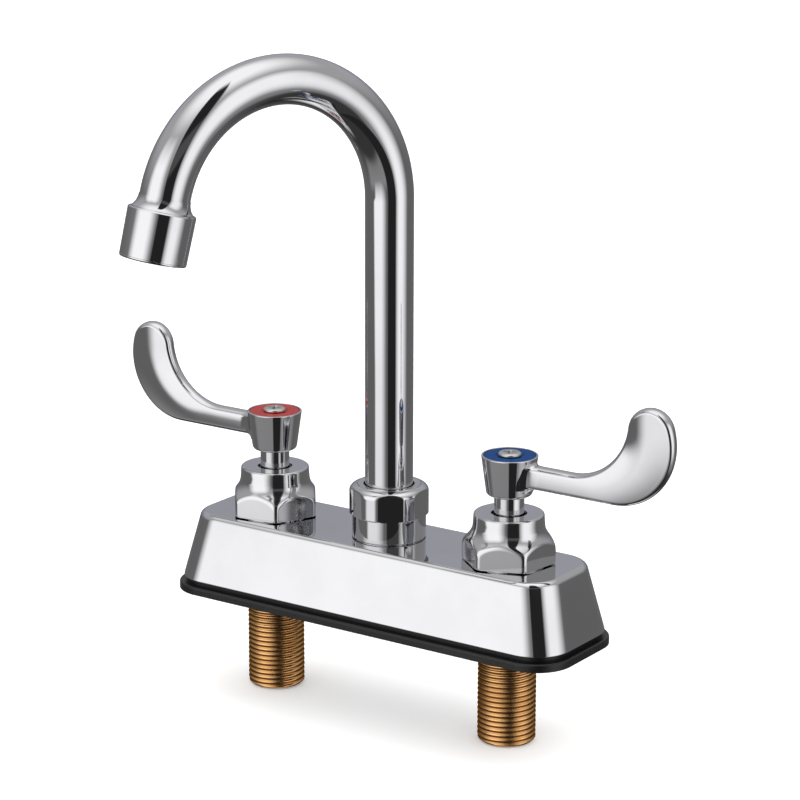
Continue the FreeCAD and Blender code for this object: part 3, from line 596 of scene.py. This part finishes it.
class FAUCET_OT_bonnets(bpy.types.Operator):
    """Bell-shaped bonnets that run out into a hexagon"""

    bl_idname = "faucet.bonnets"
    bl_label = "Bonnets"

    def execute(self, context):
        top, edge, flats, corner = 17.7, 0.8, 29.5, 2.0
        bore, hollow, foot_r, hem_r = 6.2, 9.6, 13.9, 17.33
        waist, hip, hem = (12.7, 13.2), (14.55, 9.3), (hem_r, 4.2)
        bell = swept(waist, (0.11, -1.4), hip, (0.95, -1.03), 16)
        bell += [hip] + swept(hip, (1.56, -1.69), hem, (0, -2), 30) + [hem]
        corners = [(bore, 2), (bore, top, 0.4), (12.4, top, edge), (12.55, 15), waist] + bell
        corners += [(hem_r, 3.6 - 0.4 * step) for step in range(7)]
        corners += [(17.2, 0.8), (16.8, 0.45), (foot_r, 0.45), (foot_r, 0), (hollow, 0), (hollow, 2)]
        for (name, side), turn in zip(VALVES.items(), (36.9, 51.7)):
            mesh = bmesh.new()
            turned(mesh, corners, steps=432)
            flatten(mesh, flats, corner, turn, 0, mm(sizes().flat_softness))
            piece(
                mesh, name + "_bell_nut", "chrome", "faucet_body", [name + "_bonnet"], at_valve(side),
                look="cast_chrome",
            )
        return {"FINISHED"}


class FAUCET_OT_stems(bpy.types.Operator):
    """Valve stems that show between bonnet and handle"""

    bl_idname = "faucet.stems"
    bl_label = "Valve stems"

    def execute(self, context):
        dog, plate, shaft, broach, broach_foot = 3.2, 7.9, 5.3, 4.2, 26.2
        grooves = ((4.2, 1.2, 2.8), (4.5, 13.3, 14.3))
        for name, side in VALVES.items():
            low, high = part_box(name + "_stem")
            foot = mm(low.z - DECK_TOP)
            top = mm(high.z - DECK_TOP)
            under, over = foot + 1.2, foot + 3.7
            corners = [(0, foot), (dog, foot), (dog, under), (plate, under)]
            corners += [(plate, over, 0.2), (shaft, over)]
            for radius, start, end in grooves:
                corners += [(shaft, start), (radius, start), (radius, end), (shaft, end)]
            corners += [(shaft, broach_foot), (broach, broach_foot), (broach, top, 0.3), (0, top)]
            mesh = bmesh.new()
            turned(mesh, corners, closed=False)
            piece(mesh, name + "_spindle", "chrome", name + "_valve", [name + "_stem"], at_valve(side))
        return {"FINISHED"}


class BladeForm:
    """The handle in millimetres: a tapered hub, and a side view of a level arm and three arcs."""

    low, high, middle = 27.9, 36.3, 32.1
    reach, heel_r, throat_r, tip_r, lift = 65.4, 23.0, 22.5, 8.7, 4.4
    rim, edge = 2.18, 1.6
    root, plan_r, under_r, over_r = 4.0, 8.0, 3.0, 1.5
    hub_foot, hub_top, hub_foot_r, hub_top_r = 24.2, 38.5, 8.0, 10.0
    arm_steps, bend_steps, tip_steps = 60, 40, 24
    up, down = Vector((0, 1)), Vector((0, -1))

    def __init__(self):
        self.crown = mm(sizes().blade_crown)
        self.heel = Vector((self.reach - self.heel_r, self.low + self.heel_r))
        across = math.sqrt((self.heel_r - self.tip_r) ** 2 - self.lift ** 2)
        self.tip = self.heel + Vector((across, self.lift))
        drop = self.high + self.throat_r - self.tip.y
        along = math.sqrt((self.throat_r + self.tip_r) ** 2 - drop ** 2)
        self.throat = self.tip + Vector((-along, drop))
        self.dome_r = (self.tip_r ** 2 + self.crown ** 2) / (2 * self.crown)

    def hub(self, z):
        """Radius of the hub at a height."""
        rise = (z - self.hub_foot) / (self.hub_top - self.hub_foot)
        return self.hub_foot_r + (self.hub_top_r - self.hub_foot_r) * rise

    def hollow(self, radius, gap):
        """Height of a hollow rounding at a distance from the hub."""
        least = 0.03 * radius
        reach = radius - min(max(gap, least), radius)
        return radius - math.sqrt(radius ** 2 - reach ** 2)

    def flared(self, place):
        """Where a point of the plain arm goes so that the arm runs into the round hub."""
        x, y, z = place
        half = self.rim + self.crown
        ease = 2.7
        hub = self.hub(z)
        end = math.sqrt((hub + self.plan_r) ** 2 - (half + self.plan_r) ** 2)
        touch = end * hub / (hub + self.plan_r)
        grown = math.sqrt(hub ** 2 - touch ** 2) - half
        run = ease * grown * math.sqrt(self.plan_r ** 2 - (end - touch) ** 2) / (end - touch)
        wide = half
        if x < touch:
            # Drawn in under the hub's surface
            wide = math.sqrt(hub ** 2 - x ** 2) - 0.4 * (touch - x)
        elif x < touch + run:
            wide = half + grown * (1 - (x - touch) / run) ** ease
        y *= wide / half
        gap = math.hypot(x, y) - hub
        lift = (z - self.middle) / (self.high - self.middle)
        return Vector((x, y, z + lift * self.hollow(self.over_r if lift > 0 else self.under_r, gap)))

    def arc(self, centre, radius, start, end, steps):
        """Points of an arc with their outward ways, without the last one."""
        first = math.atan2(start.y, start.x)
        sweep = start.angle_signed(end) * -1
        made = []
        for step in range(steps):
            turn = first + sweep * step / steps
            way = Vector((math.cos(turn), math.sin(turn)))
            made.append((centre + way * radius, way))
        return made

    def arm(self, level, end, way, crowding):
        """Points of the arm's level edge, closer together near the hub, with their outward way."""
        made = []
        for step in range(self.arm_steps):
            x = self.root + (end - self.root) * (step / self.arm_steps) ** crowding
            made.append((Vector((x, level)), way))
        return made

    def end(self, start):
        """Points round the tip, up to its top."""
        made = self.arc(self.tip, self.tip_r, start, self.up, self.tip_steps)
        return made + [(self.tip + self.up * self.tip_r, self.up)]

    def lower(self):
        """Lower edge from the hub over the heel to the top of the tip."""
        outer = (self.tip - self.heel).normalized()
        made = self.arm(self.low, self.heel.x, self.down, 1.9)
        return made + self.arc(self.heel, self.heel_r, self.down, outer, self.bend_steps) + self.end(outer)

    def upper(self):
        """Upper edge from the hub through the inner bend to the top of the tip."""
        inner = (self.tip - self.throat).normalized()
        made = self.arm(self.high, self.throat.x, self.up, 1.4)
        bend = self.arc(self.throat, self.throat_r, self.down, inner, self.bend_steps)
        return made + [(point, way * -1) for point, way in bend] + self.end(inner * -1)

    def half_thickness(self, x, z):
        """Half thickness at a point of the domed side view."""
        bend_r = self.tip.y - self.middle
        start = self.tip.x - bend_r
        if z > self.tip.y:
            off = x - self.tip.x
        elif x > start:
            off = math.hypot(x - start, z - self.tip.y) - bend_r
        else:
            off = z - self.middle
        dome = self.dome_r - math.sqrt(self.dome_r ** 2 - min(abs(off), self.dome_r / 2) ** 2)
        return self.rim + self.crown - dome


class FAUCET_OT_handles(bpy.types.Operator):
    """Wrist-blade handles: tapered hub, flared root, arm and domed blade"""

    bl_idname = "faucet.handles"
    bl_label = "Handles"

    def blade(self, mesh, form):
        """Front half from rungs between two edges, rounded over at its rim, then mirrored."""
        outward = mesh.verts.layers.float_vector.new("outward")
        sides = []
        for chain in (form.lower(), form.upper()):
            verts = []
            for point, way in chain:
                inner = point - way * form.edge
                verts.append(mesh.verts.new((inner.x, 0, inner.y)))
                verts[-1][outward] = (way.x, 0, way.y)
            sides += [mesh.edges.new(pair) for pair in zip(verts, verts[1:])]
        rungs = bmesh.ops.bridge_loops(mesh, edges=sides)["edges"]
        bmesh.ops.subdivide_edges(mesh, edges=rungs, cuts=14, use_grid_fill=True)
        for vert in mesh.verts:
            vert.co.y = -form.half_thickness(vert.co.x, vert.co.z)
        rim = sides
        steps = 9
        for step in range(steps):
            ring = bmesh.ops.extrude_edge_only(mesh, edges=rim)["geom"]
            fresh = set(verts_of(ring))
            rim = [edge for edge in edges_of(ring) if fresh.issuperset(edge.verts)]
            before = math.pi / 2 * step / steps
            after = math.pi / 2 * (step + 1) / steps
            for vert in fresh:
                vert.co += vert[outward] * form.edge * (math.sin(after) - math.sin(before))
                vert.co.y *= math.cos(after) / math.cos(before)
        for vert in mesh.verts:
            if vert.co.x < form.heel.x:
                vert.co = form.flared(vert.co)
        bmesh.ops.mirror(
            mesh, geom=mesh.verts[:] + mesh.edges[:] + mesh.faces[:], axis="Y", merge_dist=0.0001
        )

    def execute(self, context):
        form = BladeForm()
        hole, socket, recess, floor = 2.3, 5.35, 9.2, 36.9
        roof = floor - 2.4
        corners = [(hole, roof), (socket, roof), (socket, form.hub_foot, 0.2)]
        corners += [(form.hub_foot_r, form.hub_foot, 1.4), (form.hub_top_r, form.hub_top, 0.3)]
        corners += [(recess, form.hub_top, 0.12), (recess, floor), (hole, floor)]
        for name, side in VALVES.items():
            mesh = bmesh.new()
            self.blade(mesh, form)
            turned(mesh, corners)
            piece(
                mesh, name + "_wrist_blade", "handle_chrome", name + "_valve", [name + "_handle"],
                at_valve(side, True), crease=40,
            )
        return {"FINISHED"}


class FAUCET_OT_index(bpy.types.Operator):
    """Coloured index discs and the cross-recess screws through them"""

    bl_idname = "faucet.index"
    bl_label = "Index discs and screws"

    def execute(self, context):
        for (name, side), slot in zip(VALVES.items(), ("red_plastic", "blue_plastic")):
            low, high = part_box(name + "_index_disc")
            floor = mm(low.z - DECK_TOP)
            top = mm(high.z - DECK_TOP)
            hole, rim, sunk = 2.3, 9.1, top - 0.25
            corners = [(hole, floor), (rim, floor), (rim, top, 0.3), (4.9, top, 0.3), (4.7, sunk, 0.1)]
            mesh = bmesh.new()
            turned(mesh, corners + [(hole, sunk)])
            piece(mesh, name + "_disc", slot, name + "_valve", [name + "_index_disc"], at_valve(side))
            end = mm(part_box(name + "_handle_screw")[0].z - DECK_TOP)
            shaft, head, crown = 2.0, 4.1, top + 1.2
            brim, dome = (head, top + 0.4), (2.9, crown)
            corners = [(0, end), (shaft, end, 0.3), (shaft, top), (head, top, 0.15), brim]
            corners += swept(brim, (0, 0.5), dome, (-0.7, 0.02), 10) + [dome, (0, crown)]
            mesh = bmesh.new()
            turned(mesh, corners, closed=False, steps=96)
            screw = piece(
                mesh, name + "_screw", "steel", name + "_valve", [name + "_handle_screw"], at_valve(side)
            )
            recess = bmesh.new()
            wide, long, taper, turn, depth, above = 0.6, 2.6, 0.6, 0.4, 1.6, 0.6
            corners = [(wide, wide), (long, wide), (long, -wide)]
            quarters = [Matrix.Rotation(turn - math.pi / 2 * step, 2) for step in range(4)]
            plus = [quarter @ Vector(corner) for quarter in quarters for corner in corners]
            face = recess.faces.new([recess.verts.new((*point, crown + above)) for point in plus])
            deep = bmesh.ops.extrude_face_region(recess, geom=[face])["geom"]
            for vert in verts_of(deep):
                vert.co = (vert.co.x * taper, vert.co.y * taper, crown - depth)
            bmesh.ops.recalc_face_normals(recess, faces=recess.faces)
            bmesh.ops.transform(recess, matrix=at_valve(side) @ Matrix.Scale(MM, 4), verts=recess.verts)
            carve(screw, recess)
        return {"FINISHED"}


class FAUCET_OT_nut(bpy.types.Operator):
    """Coupling nut of the spout: round skirt, band with six flats and a rolled shoulder"""

    bl_idname = "faucet.nut"
    bl_label = "Spout nut"

    def execute(self, context):
        flats, corner, turn, softness = 26.9, 1.0, 64.7, 0.35
        bore, hollow, skirt, band = 9.05, 11.35, 13.3, 14.25
        shoulder, neck, top = (band, 16.9), (11.5, 19.45), 19.7
        corners = [(9.7, 12), (hollow, 12), (hollow, 0), (12.7, 0), (12.8, 0.35), (skirt, 0.35, 0.25)]
        corners += [(skirt, 8.6), (13.75, 8.6), (band, 8.95, 0.3)]
        corners += [(band, 9.3 + 0.4 * step) for step in range(20)]
        corners += swept(shoulder, (0, 1.5), neck, (-1.6, 0.25), 14)
        corners += [neck, (11.42, 19.3), (11.34, 19.45), (11.2, top, 0.1), (bore, top, 0.35)]
        corners += [(bore, 18.4), (9.7, 17.6)]
        mesh = bmesh.new()
        turned(mesh, corners, steps=360)
        flatten(mesh, flats, corner, turn, 8.5, softness)
        place = Matrix.Translation((0, 0, DECK_TOP))
        piece(mesh, "coupling_nut", "chrome", "faucet_body", ["spout_nut"], place)
        return {"FINISHED"}


class FAUCET_OT_spout(bpy.types.Operator):
    """Gooseneck tube and the flared end piece that takes the aerator"""

    bl_idname = "faucet.spout"
    bl_label = "Gooseneck"

    def execute(self, context):
        size = sizes()
        radius = mm(size.tube_radius)
        bend = mm(size.bend_radius)
        start = mm(size.bend_start)
        foot = mm(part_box("spout_tube")[0].z - DECK_TOP)
        tail = 4.6
        mesh = bmesh.new()
        bmesh.ops.create_circle(
            mesh, cap_ends=True, segments=128, radius=radius, matrix=Matrix.Translation((0, 0, foot))
        )
        grown = bmesh.ops.extrude_edge_only(mesh, edges=mesh.edges[:])["geom"]
        bmesh.ops.translate(mesh, verts=verts_of(grown), vec=(0, 0, start - foot))
        rim = [edge for edge in edges_of(grown) if edge.is_boundary]
        spun = bmesh.ops.spin(
            mesh, geom=verts_of(grown) + rim, cent=(bend, 0, start), axis=(0, 1, 0),
            angle=size.bend_angle, steps=150,
        )["geom_last"]
        grown = bmesh.ops.extrude_edge_only(mesh, edges=edges_of(spun))["geom"]
        flow = Vector((math.sin(size.bend_angle), 0, math.cos(size.bend_angle)))
        bmesh.ops.translate(mesh, verts=verts_of(grown), vec=flow * tail)
        bmesh.ops.contextual_create(mesh, geom=[edge for edge in edges_of(grown) if edge.is_boundary])
        piece(mesh, "gooseneck", "chrome", "spout", ["spout_tube"], at_spout())

        socket, thread, bore = 8.65, 10.0, 7.4
        lip, rim, end = (8.8, 0.9), (10.6, 5.2), 11.8
        corners = [(socket, 0.9), lip] + swept(lip, (0, 1.6), rim, (1.2, 1.0), 16) + [rim]
        corners += [(thread, 5.2), (thread, end), (bore, end), (bore, tail), (socket, tail)]
        mesh = bmesh.new()
        turned(mesh, corners)
        piece(mesh, "outlet_flare", "chrome", "spout", ["outlet_adapter"], at_outlet())
        return {"FINISHED"}


class FAUCET_OT_aerator(bpy.types.Operator):
    """Plain aerator shell with a ledge at its top and a thin lip round the outlet"""

    bl_idname = "faucet.aerator"
    bl_label = "Aerator"

    def execute(self, context):
        top, end, bore, mouth = 5.3, 22.5, 10.05, 9.0
        lip = end - 1.2
        corners = [(bore, top), (11.15, top, 0.1), (11.6, top + 0.5, 0.15)]
        corners += [(11.41, end - 1.0), (11.3, end - 0.9), (11.4, end - 0.8), (11.4, end - 0.4, 0.2)]
        corners += [(11.0, end, 0.2), (mouth, end, 0.35), (mouth, lip), (bore, lip)]
        mesh = bmesh.new()
        turned(mesh, corners)
        piece(mesh, "aerator_cap", "chrome", "spout", ["aerator_shell"], at_outlet())
        return {"FINISHED"}


class FAUCET_OT_inner(bpy.types.Operator):
    """Finishes of the pieces that keep the shape they were packed with"""

    bl_idname = "faucet.inner"
    bl_label = "Gasket, seals and valve insides"

    def execute(self, context):
        slots = {row["node"]: row["material_slot"] for row in frame["record"]["subparts"]}
        for name, node in frame["nodes"].items():
            node.data.materials.clear()
            node.data.materials.append(finish(slots[name]))
        return {"FINISHED"}


# Brightness of the studio, its plain white, and the cool grey of its far side
STUDIO = 1.6
WHITE = (1.5, 1.5, 1.5)
BACK = (1.0, 1.0, 1.12)

# Camera: places in metres, focal length and frame in pixels, sensor in millimetres, roll in degrees
CAMERA = Vector((0.582146, -0.842543, 0.357589))
TARGET = Vector((0.004643, 0, 0.080264))
FOCAL, FRAME, SENSOR, ROLL = 2994.0, 800, 36, 0.154


class FAUCET_OT_stage(bpy.types.Operator):
    """White studio: pale floor, soft light from a tent with dark gaps, and the camera"""

    bl_idname = "faucet.stage"
    bl_label = "Studio"

    def floor(self):
        """A wide pale plane just under the shanks, which the plating doesn't mirror."""
        half, gap = 8.0, 0.5 * MM
        mesh = bmesh.new()
        level = Matrix.Translation((0, 0, SHANK_END - gap))
        bmesh.ops.create_grid(mesh, x_segments=1, y_segments=1, size=half, matrix=level)
        data = bpy.data.meshes.new("floor")
        mesh.to_mesh(data)
        mesh.free()
        ground = bpy.data.objects.new("floor", data)
        ground.visible_glossy = False
        bpy.context.collection.objects.link(ground)
        paint = Finish("Floor")
        grain = paint.noise(30, 3, 0.5)
        tone = finishes().floor
        paint.set(Base_Color=paint.mix(grain, tone, [0.985 * part for part in tone]), Roughness=0.8)
        paint.set(Emission_Color=(1.0, 1.0, 1.0), Emission_Strength=0.2)
        data.materials.append(paint.material)

    def tent(self):
        """Light by its turn from the camera and its rise: two soft boxes, a dark gap, grey behind."""
        world = bpy.data.worlds.new("Studio")
        bpy.context.scene.world = world
        world.use_nodes = True
        sky = Graph(world.node_tree)
        towards = (CAMERA - TARGET).to_2d().normalized()
        way = sky.node("ShaderNodeTexCoord", out=0)
        front = sky.node("ShaderNodeVectorMath", {"operation": "DOT_PRODUCT"}, way, (*towards, 0), out=1)
        aside = sky.node(
            "ShaderNodeVectorMath", {"operation": "DOT_PRODUCT"}, way, (-towards.y, towards.x, 0), out=1
        )
        up = sky.node("ShaderNodeSeparateXYZ", None, way, out=2)
        turn = aside.math("ARCTAN2", front) * (180 / math.pi)
        rise = up.math("ARCSINE") * (180 / math.pi)

        def tall(foot, head):
            """How far down and up a soft box reaches: each edge from dark to bright, in degrees."""
            return sky.ramp(rise, *foot) * sky.ramp(rise, *head)

        # The boxes' sides slant where they come down to the floor
        low = rise.math("MINIMUM", 0).math("MAXIMUM", -15)
        cut = sky.ramp(turn + low * 2, -106.5, -94)
        main = cut * sky.ramp(turn - low * 0.8, -104, -65) * sky.ramp(turn - low * 0.3, 0, -38)
        main = main * tall((-38, -8), (62, 22)) * 0.93
        fill = sky.ramp(turn, 22, 48) * sky.ramp(turn - low * 0.45, 109, 63)
        fill = fill * tall((-48, -12), (58, 20)) * 0.87
        below = sky.ramp(rise, -52, -68) * sky.ramp(front, -0.1, -0.35) * 0.8
        glow = sky.ramp(rise, -17, -26) * sky.ramp(rise, -50, -38) * sky.ramp(front, -0.25, 0.1) * 0.12
        tent = sky.ramp(rise, -6, 30, 0.11, 0.325) * sky.ramp(rise, -55, -18, 0.3, 1)
        tent = tent + sky.ramp(rise, 36, 74, 0, 0.57)
        gap = sky.ramp((turn - 12).math("ABSOLUTE"), 15.5, 20.5).math("MAXIMUM", sky.ramp(rise, 68, 85))
        light = main.math("MAXIMUM", fill).math("MAXIMUM", tent + glow).math("MAXIMUM", below)
        dark = 0.015 + 0.05 * sky.ramp(rise, 11, 15.5) * sky.ramp(rise, 34, 26)
        level = (light * gap).math("MAXIMUM", dark) * STUDIO
        behind = sky.ramp(front, -0.4, -0.85) * sky.ramp(rise, -10, 12) * sky.ramp(rise, 40, 18)
        shade = sky.mix(behind, (1.0, 1.0, 1.0), BACK)
        shade = sky.node("ShaderNodeVectorMath", {"operation": "SCALE"}, shade, Scale=level)
        direct = sky.node("ShaderNodeLightPath", out=0)
        diffuse = sky.node("ShaderNodeLightPath", out=2)
        plain = direct.math("MAXIMUM", diffuse)
        seen = sky.mix(plain, shade, WHITE)
        sky.put(world.node_tree.nodes["Background"].inputs["Color"], seen)

    def execute(self, context):
        self.floor()
        self.tent()
        lens = bpy.data.cameras.new("Camera")
        lens.sensor_width = SENSOR
        lens.lens = FOCAL / FRAME * SENSOR
        lens.clip_start = 0.05
        lens.clip_end = 50
        camera = bpy.data.objects.new("Camera", lens)
        look = (TARGET - CAMERA).to_track_quat("-Z", "Y")
        roll = Matrix.Rotation(math.radians(ROLL), 4, "Z")
        camera.matrix_world = Matrix.Translation(CAMERA) @ look.to_matrix().to_4x4() @ roll
        bpy.context.collection.objects.link(camera)
        bpy.context.scene.camera = camera
        bpy.context.scene.view_settings.view_transform = "Standard"
        return {"FINISHED"}


STEPS = (
    FAUCET_OT_inner, FAUCET_OT_base, FAUCET_OT_shanks, FAUCET_OT_bonnets, FAUCET_OT_stems,
    FAUCET_OT_handles, FAUCET_OT_index, FAUCET_OT_nut, FAUCET_OT_spout, FAUCET_OT_aerator,
    FAUCET_OT_stage,
)


class FAUCET_PT_panel(bpy.types.Panel):
    """Steps of the faucet and the values they use"""

    bl_idname = "FAUCET_PT_panel"
    bl_label = "Faucet"
    bl_space_type = "VIEW_3D"
    bl_region_type = "UI"
    bl_category = "Faucet"

    def draw(self, context):
        column = self.layout.column()
        for step in STEPS:
            column.operator(step.bl_idname)
        for group in (context.scene.faucet_sizes, context.scene.faucet_finishes):
            for name in group.__annotations__:
                column.prop(group, name)


CLASSES = (FaucetSizes, FaucetFinishes, *STEPS, FAUCET_PT_panel)


def register():
    for kind in CLASSES:
        bpy.utils.register_class(kind)
    bpy.types.Scene.faucet_sizes = PointerProperty(type=FaucetSizes)
    bpy.types.Scene.faucet_finishes = PointerProperty(type=FaucetFinishes)


def unregister():
    del bpy.types.Scene.faucet_finishes
    del bpy.types.Scene.faucet_sizes
    for kind in reversed(CLASSES):
        bpy.utils.unregister_class(kind)


def main():
    register()
    for step in STEPS:
        group, name = step.bl_idname.split(".")
        getattr(getattr(bpy.ops, group), name)()
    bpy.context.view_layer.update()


if __name__ == "__main__":
    main()
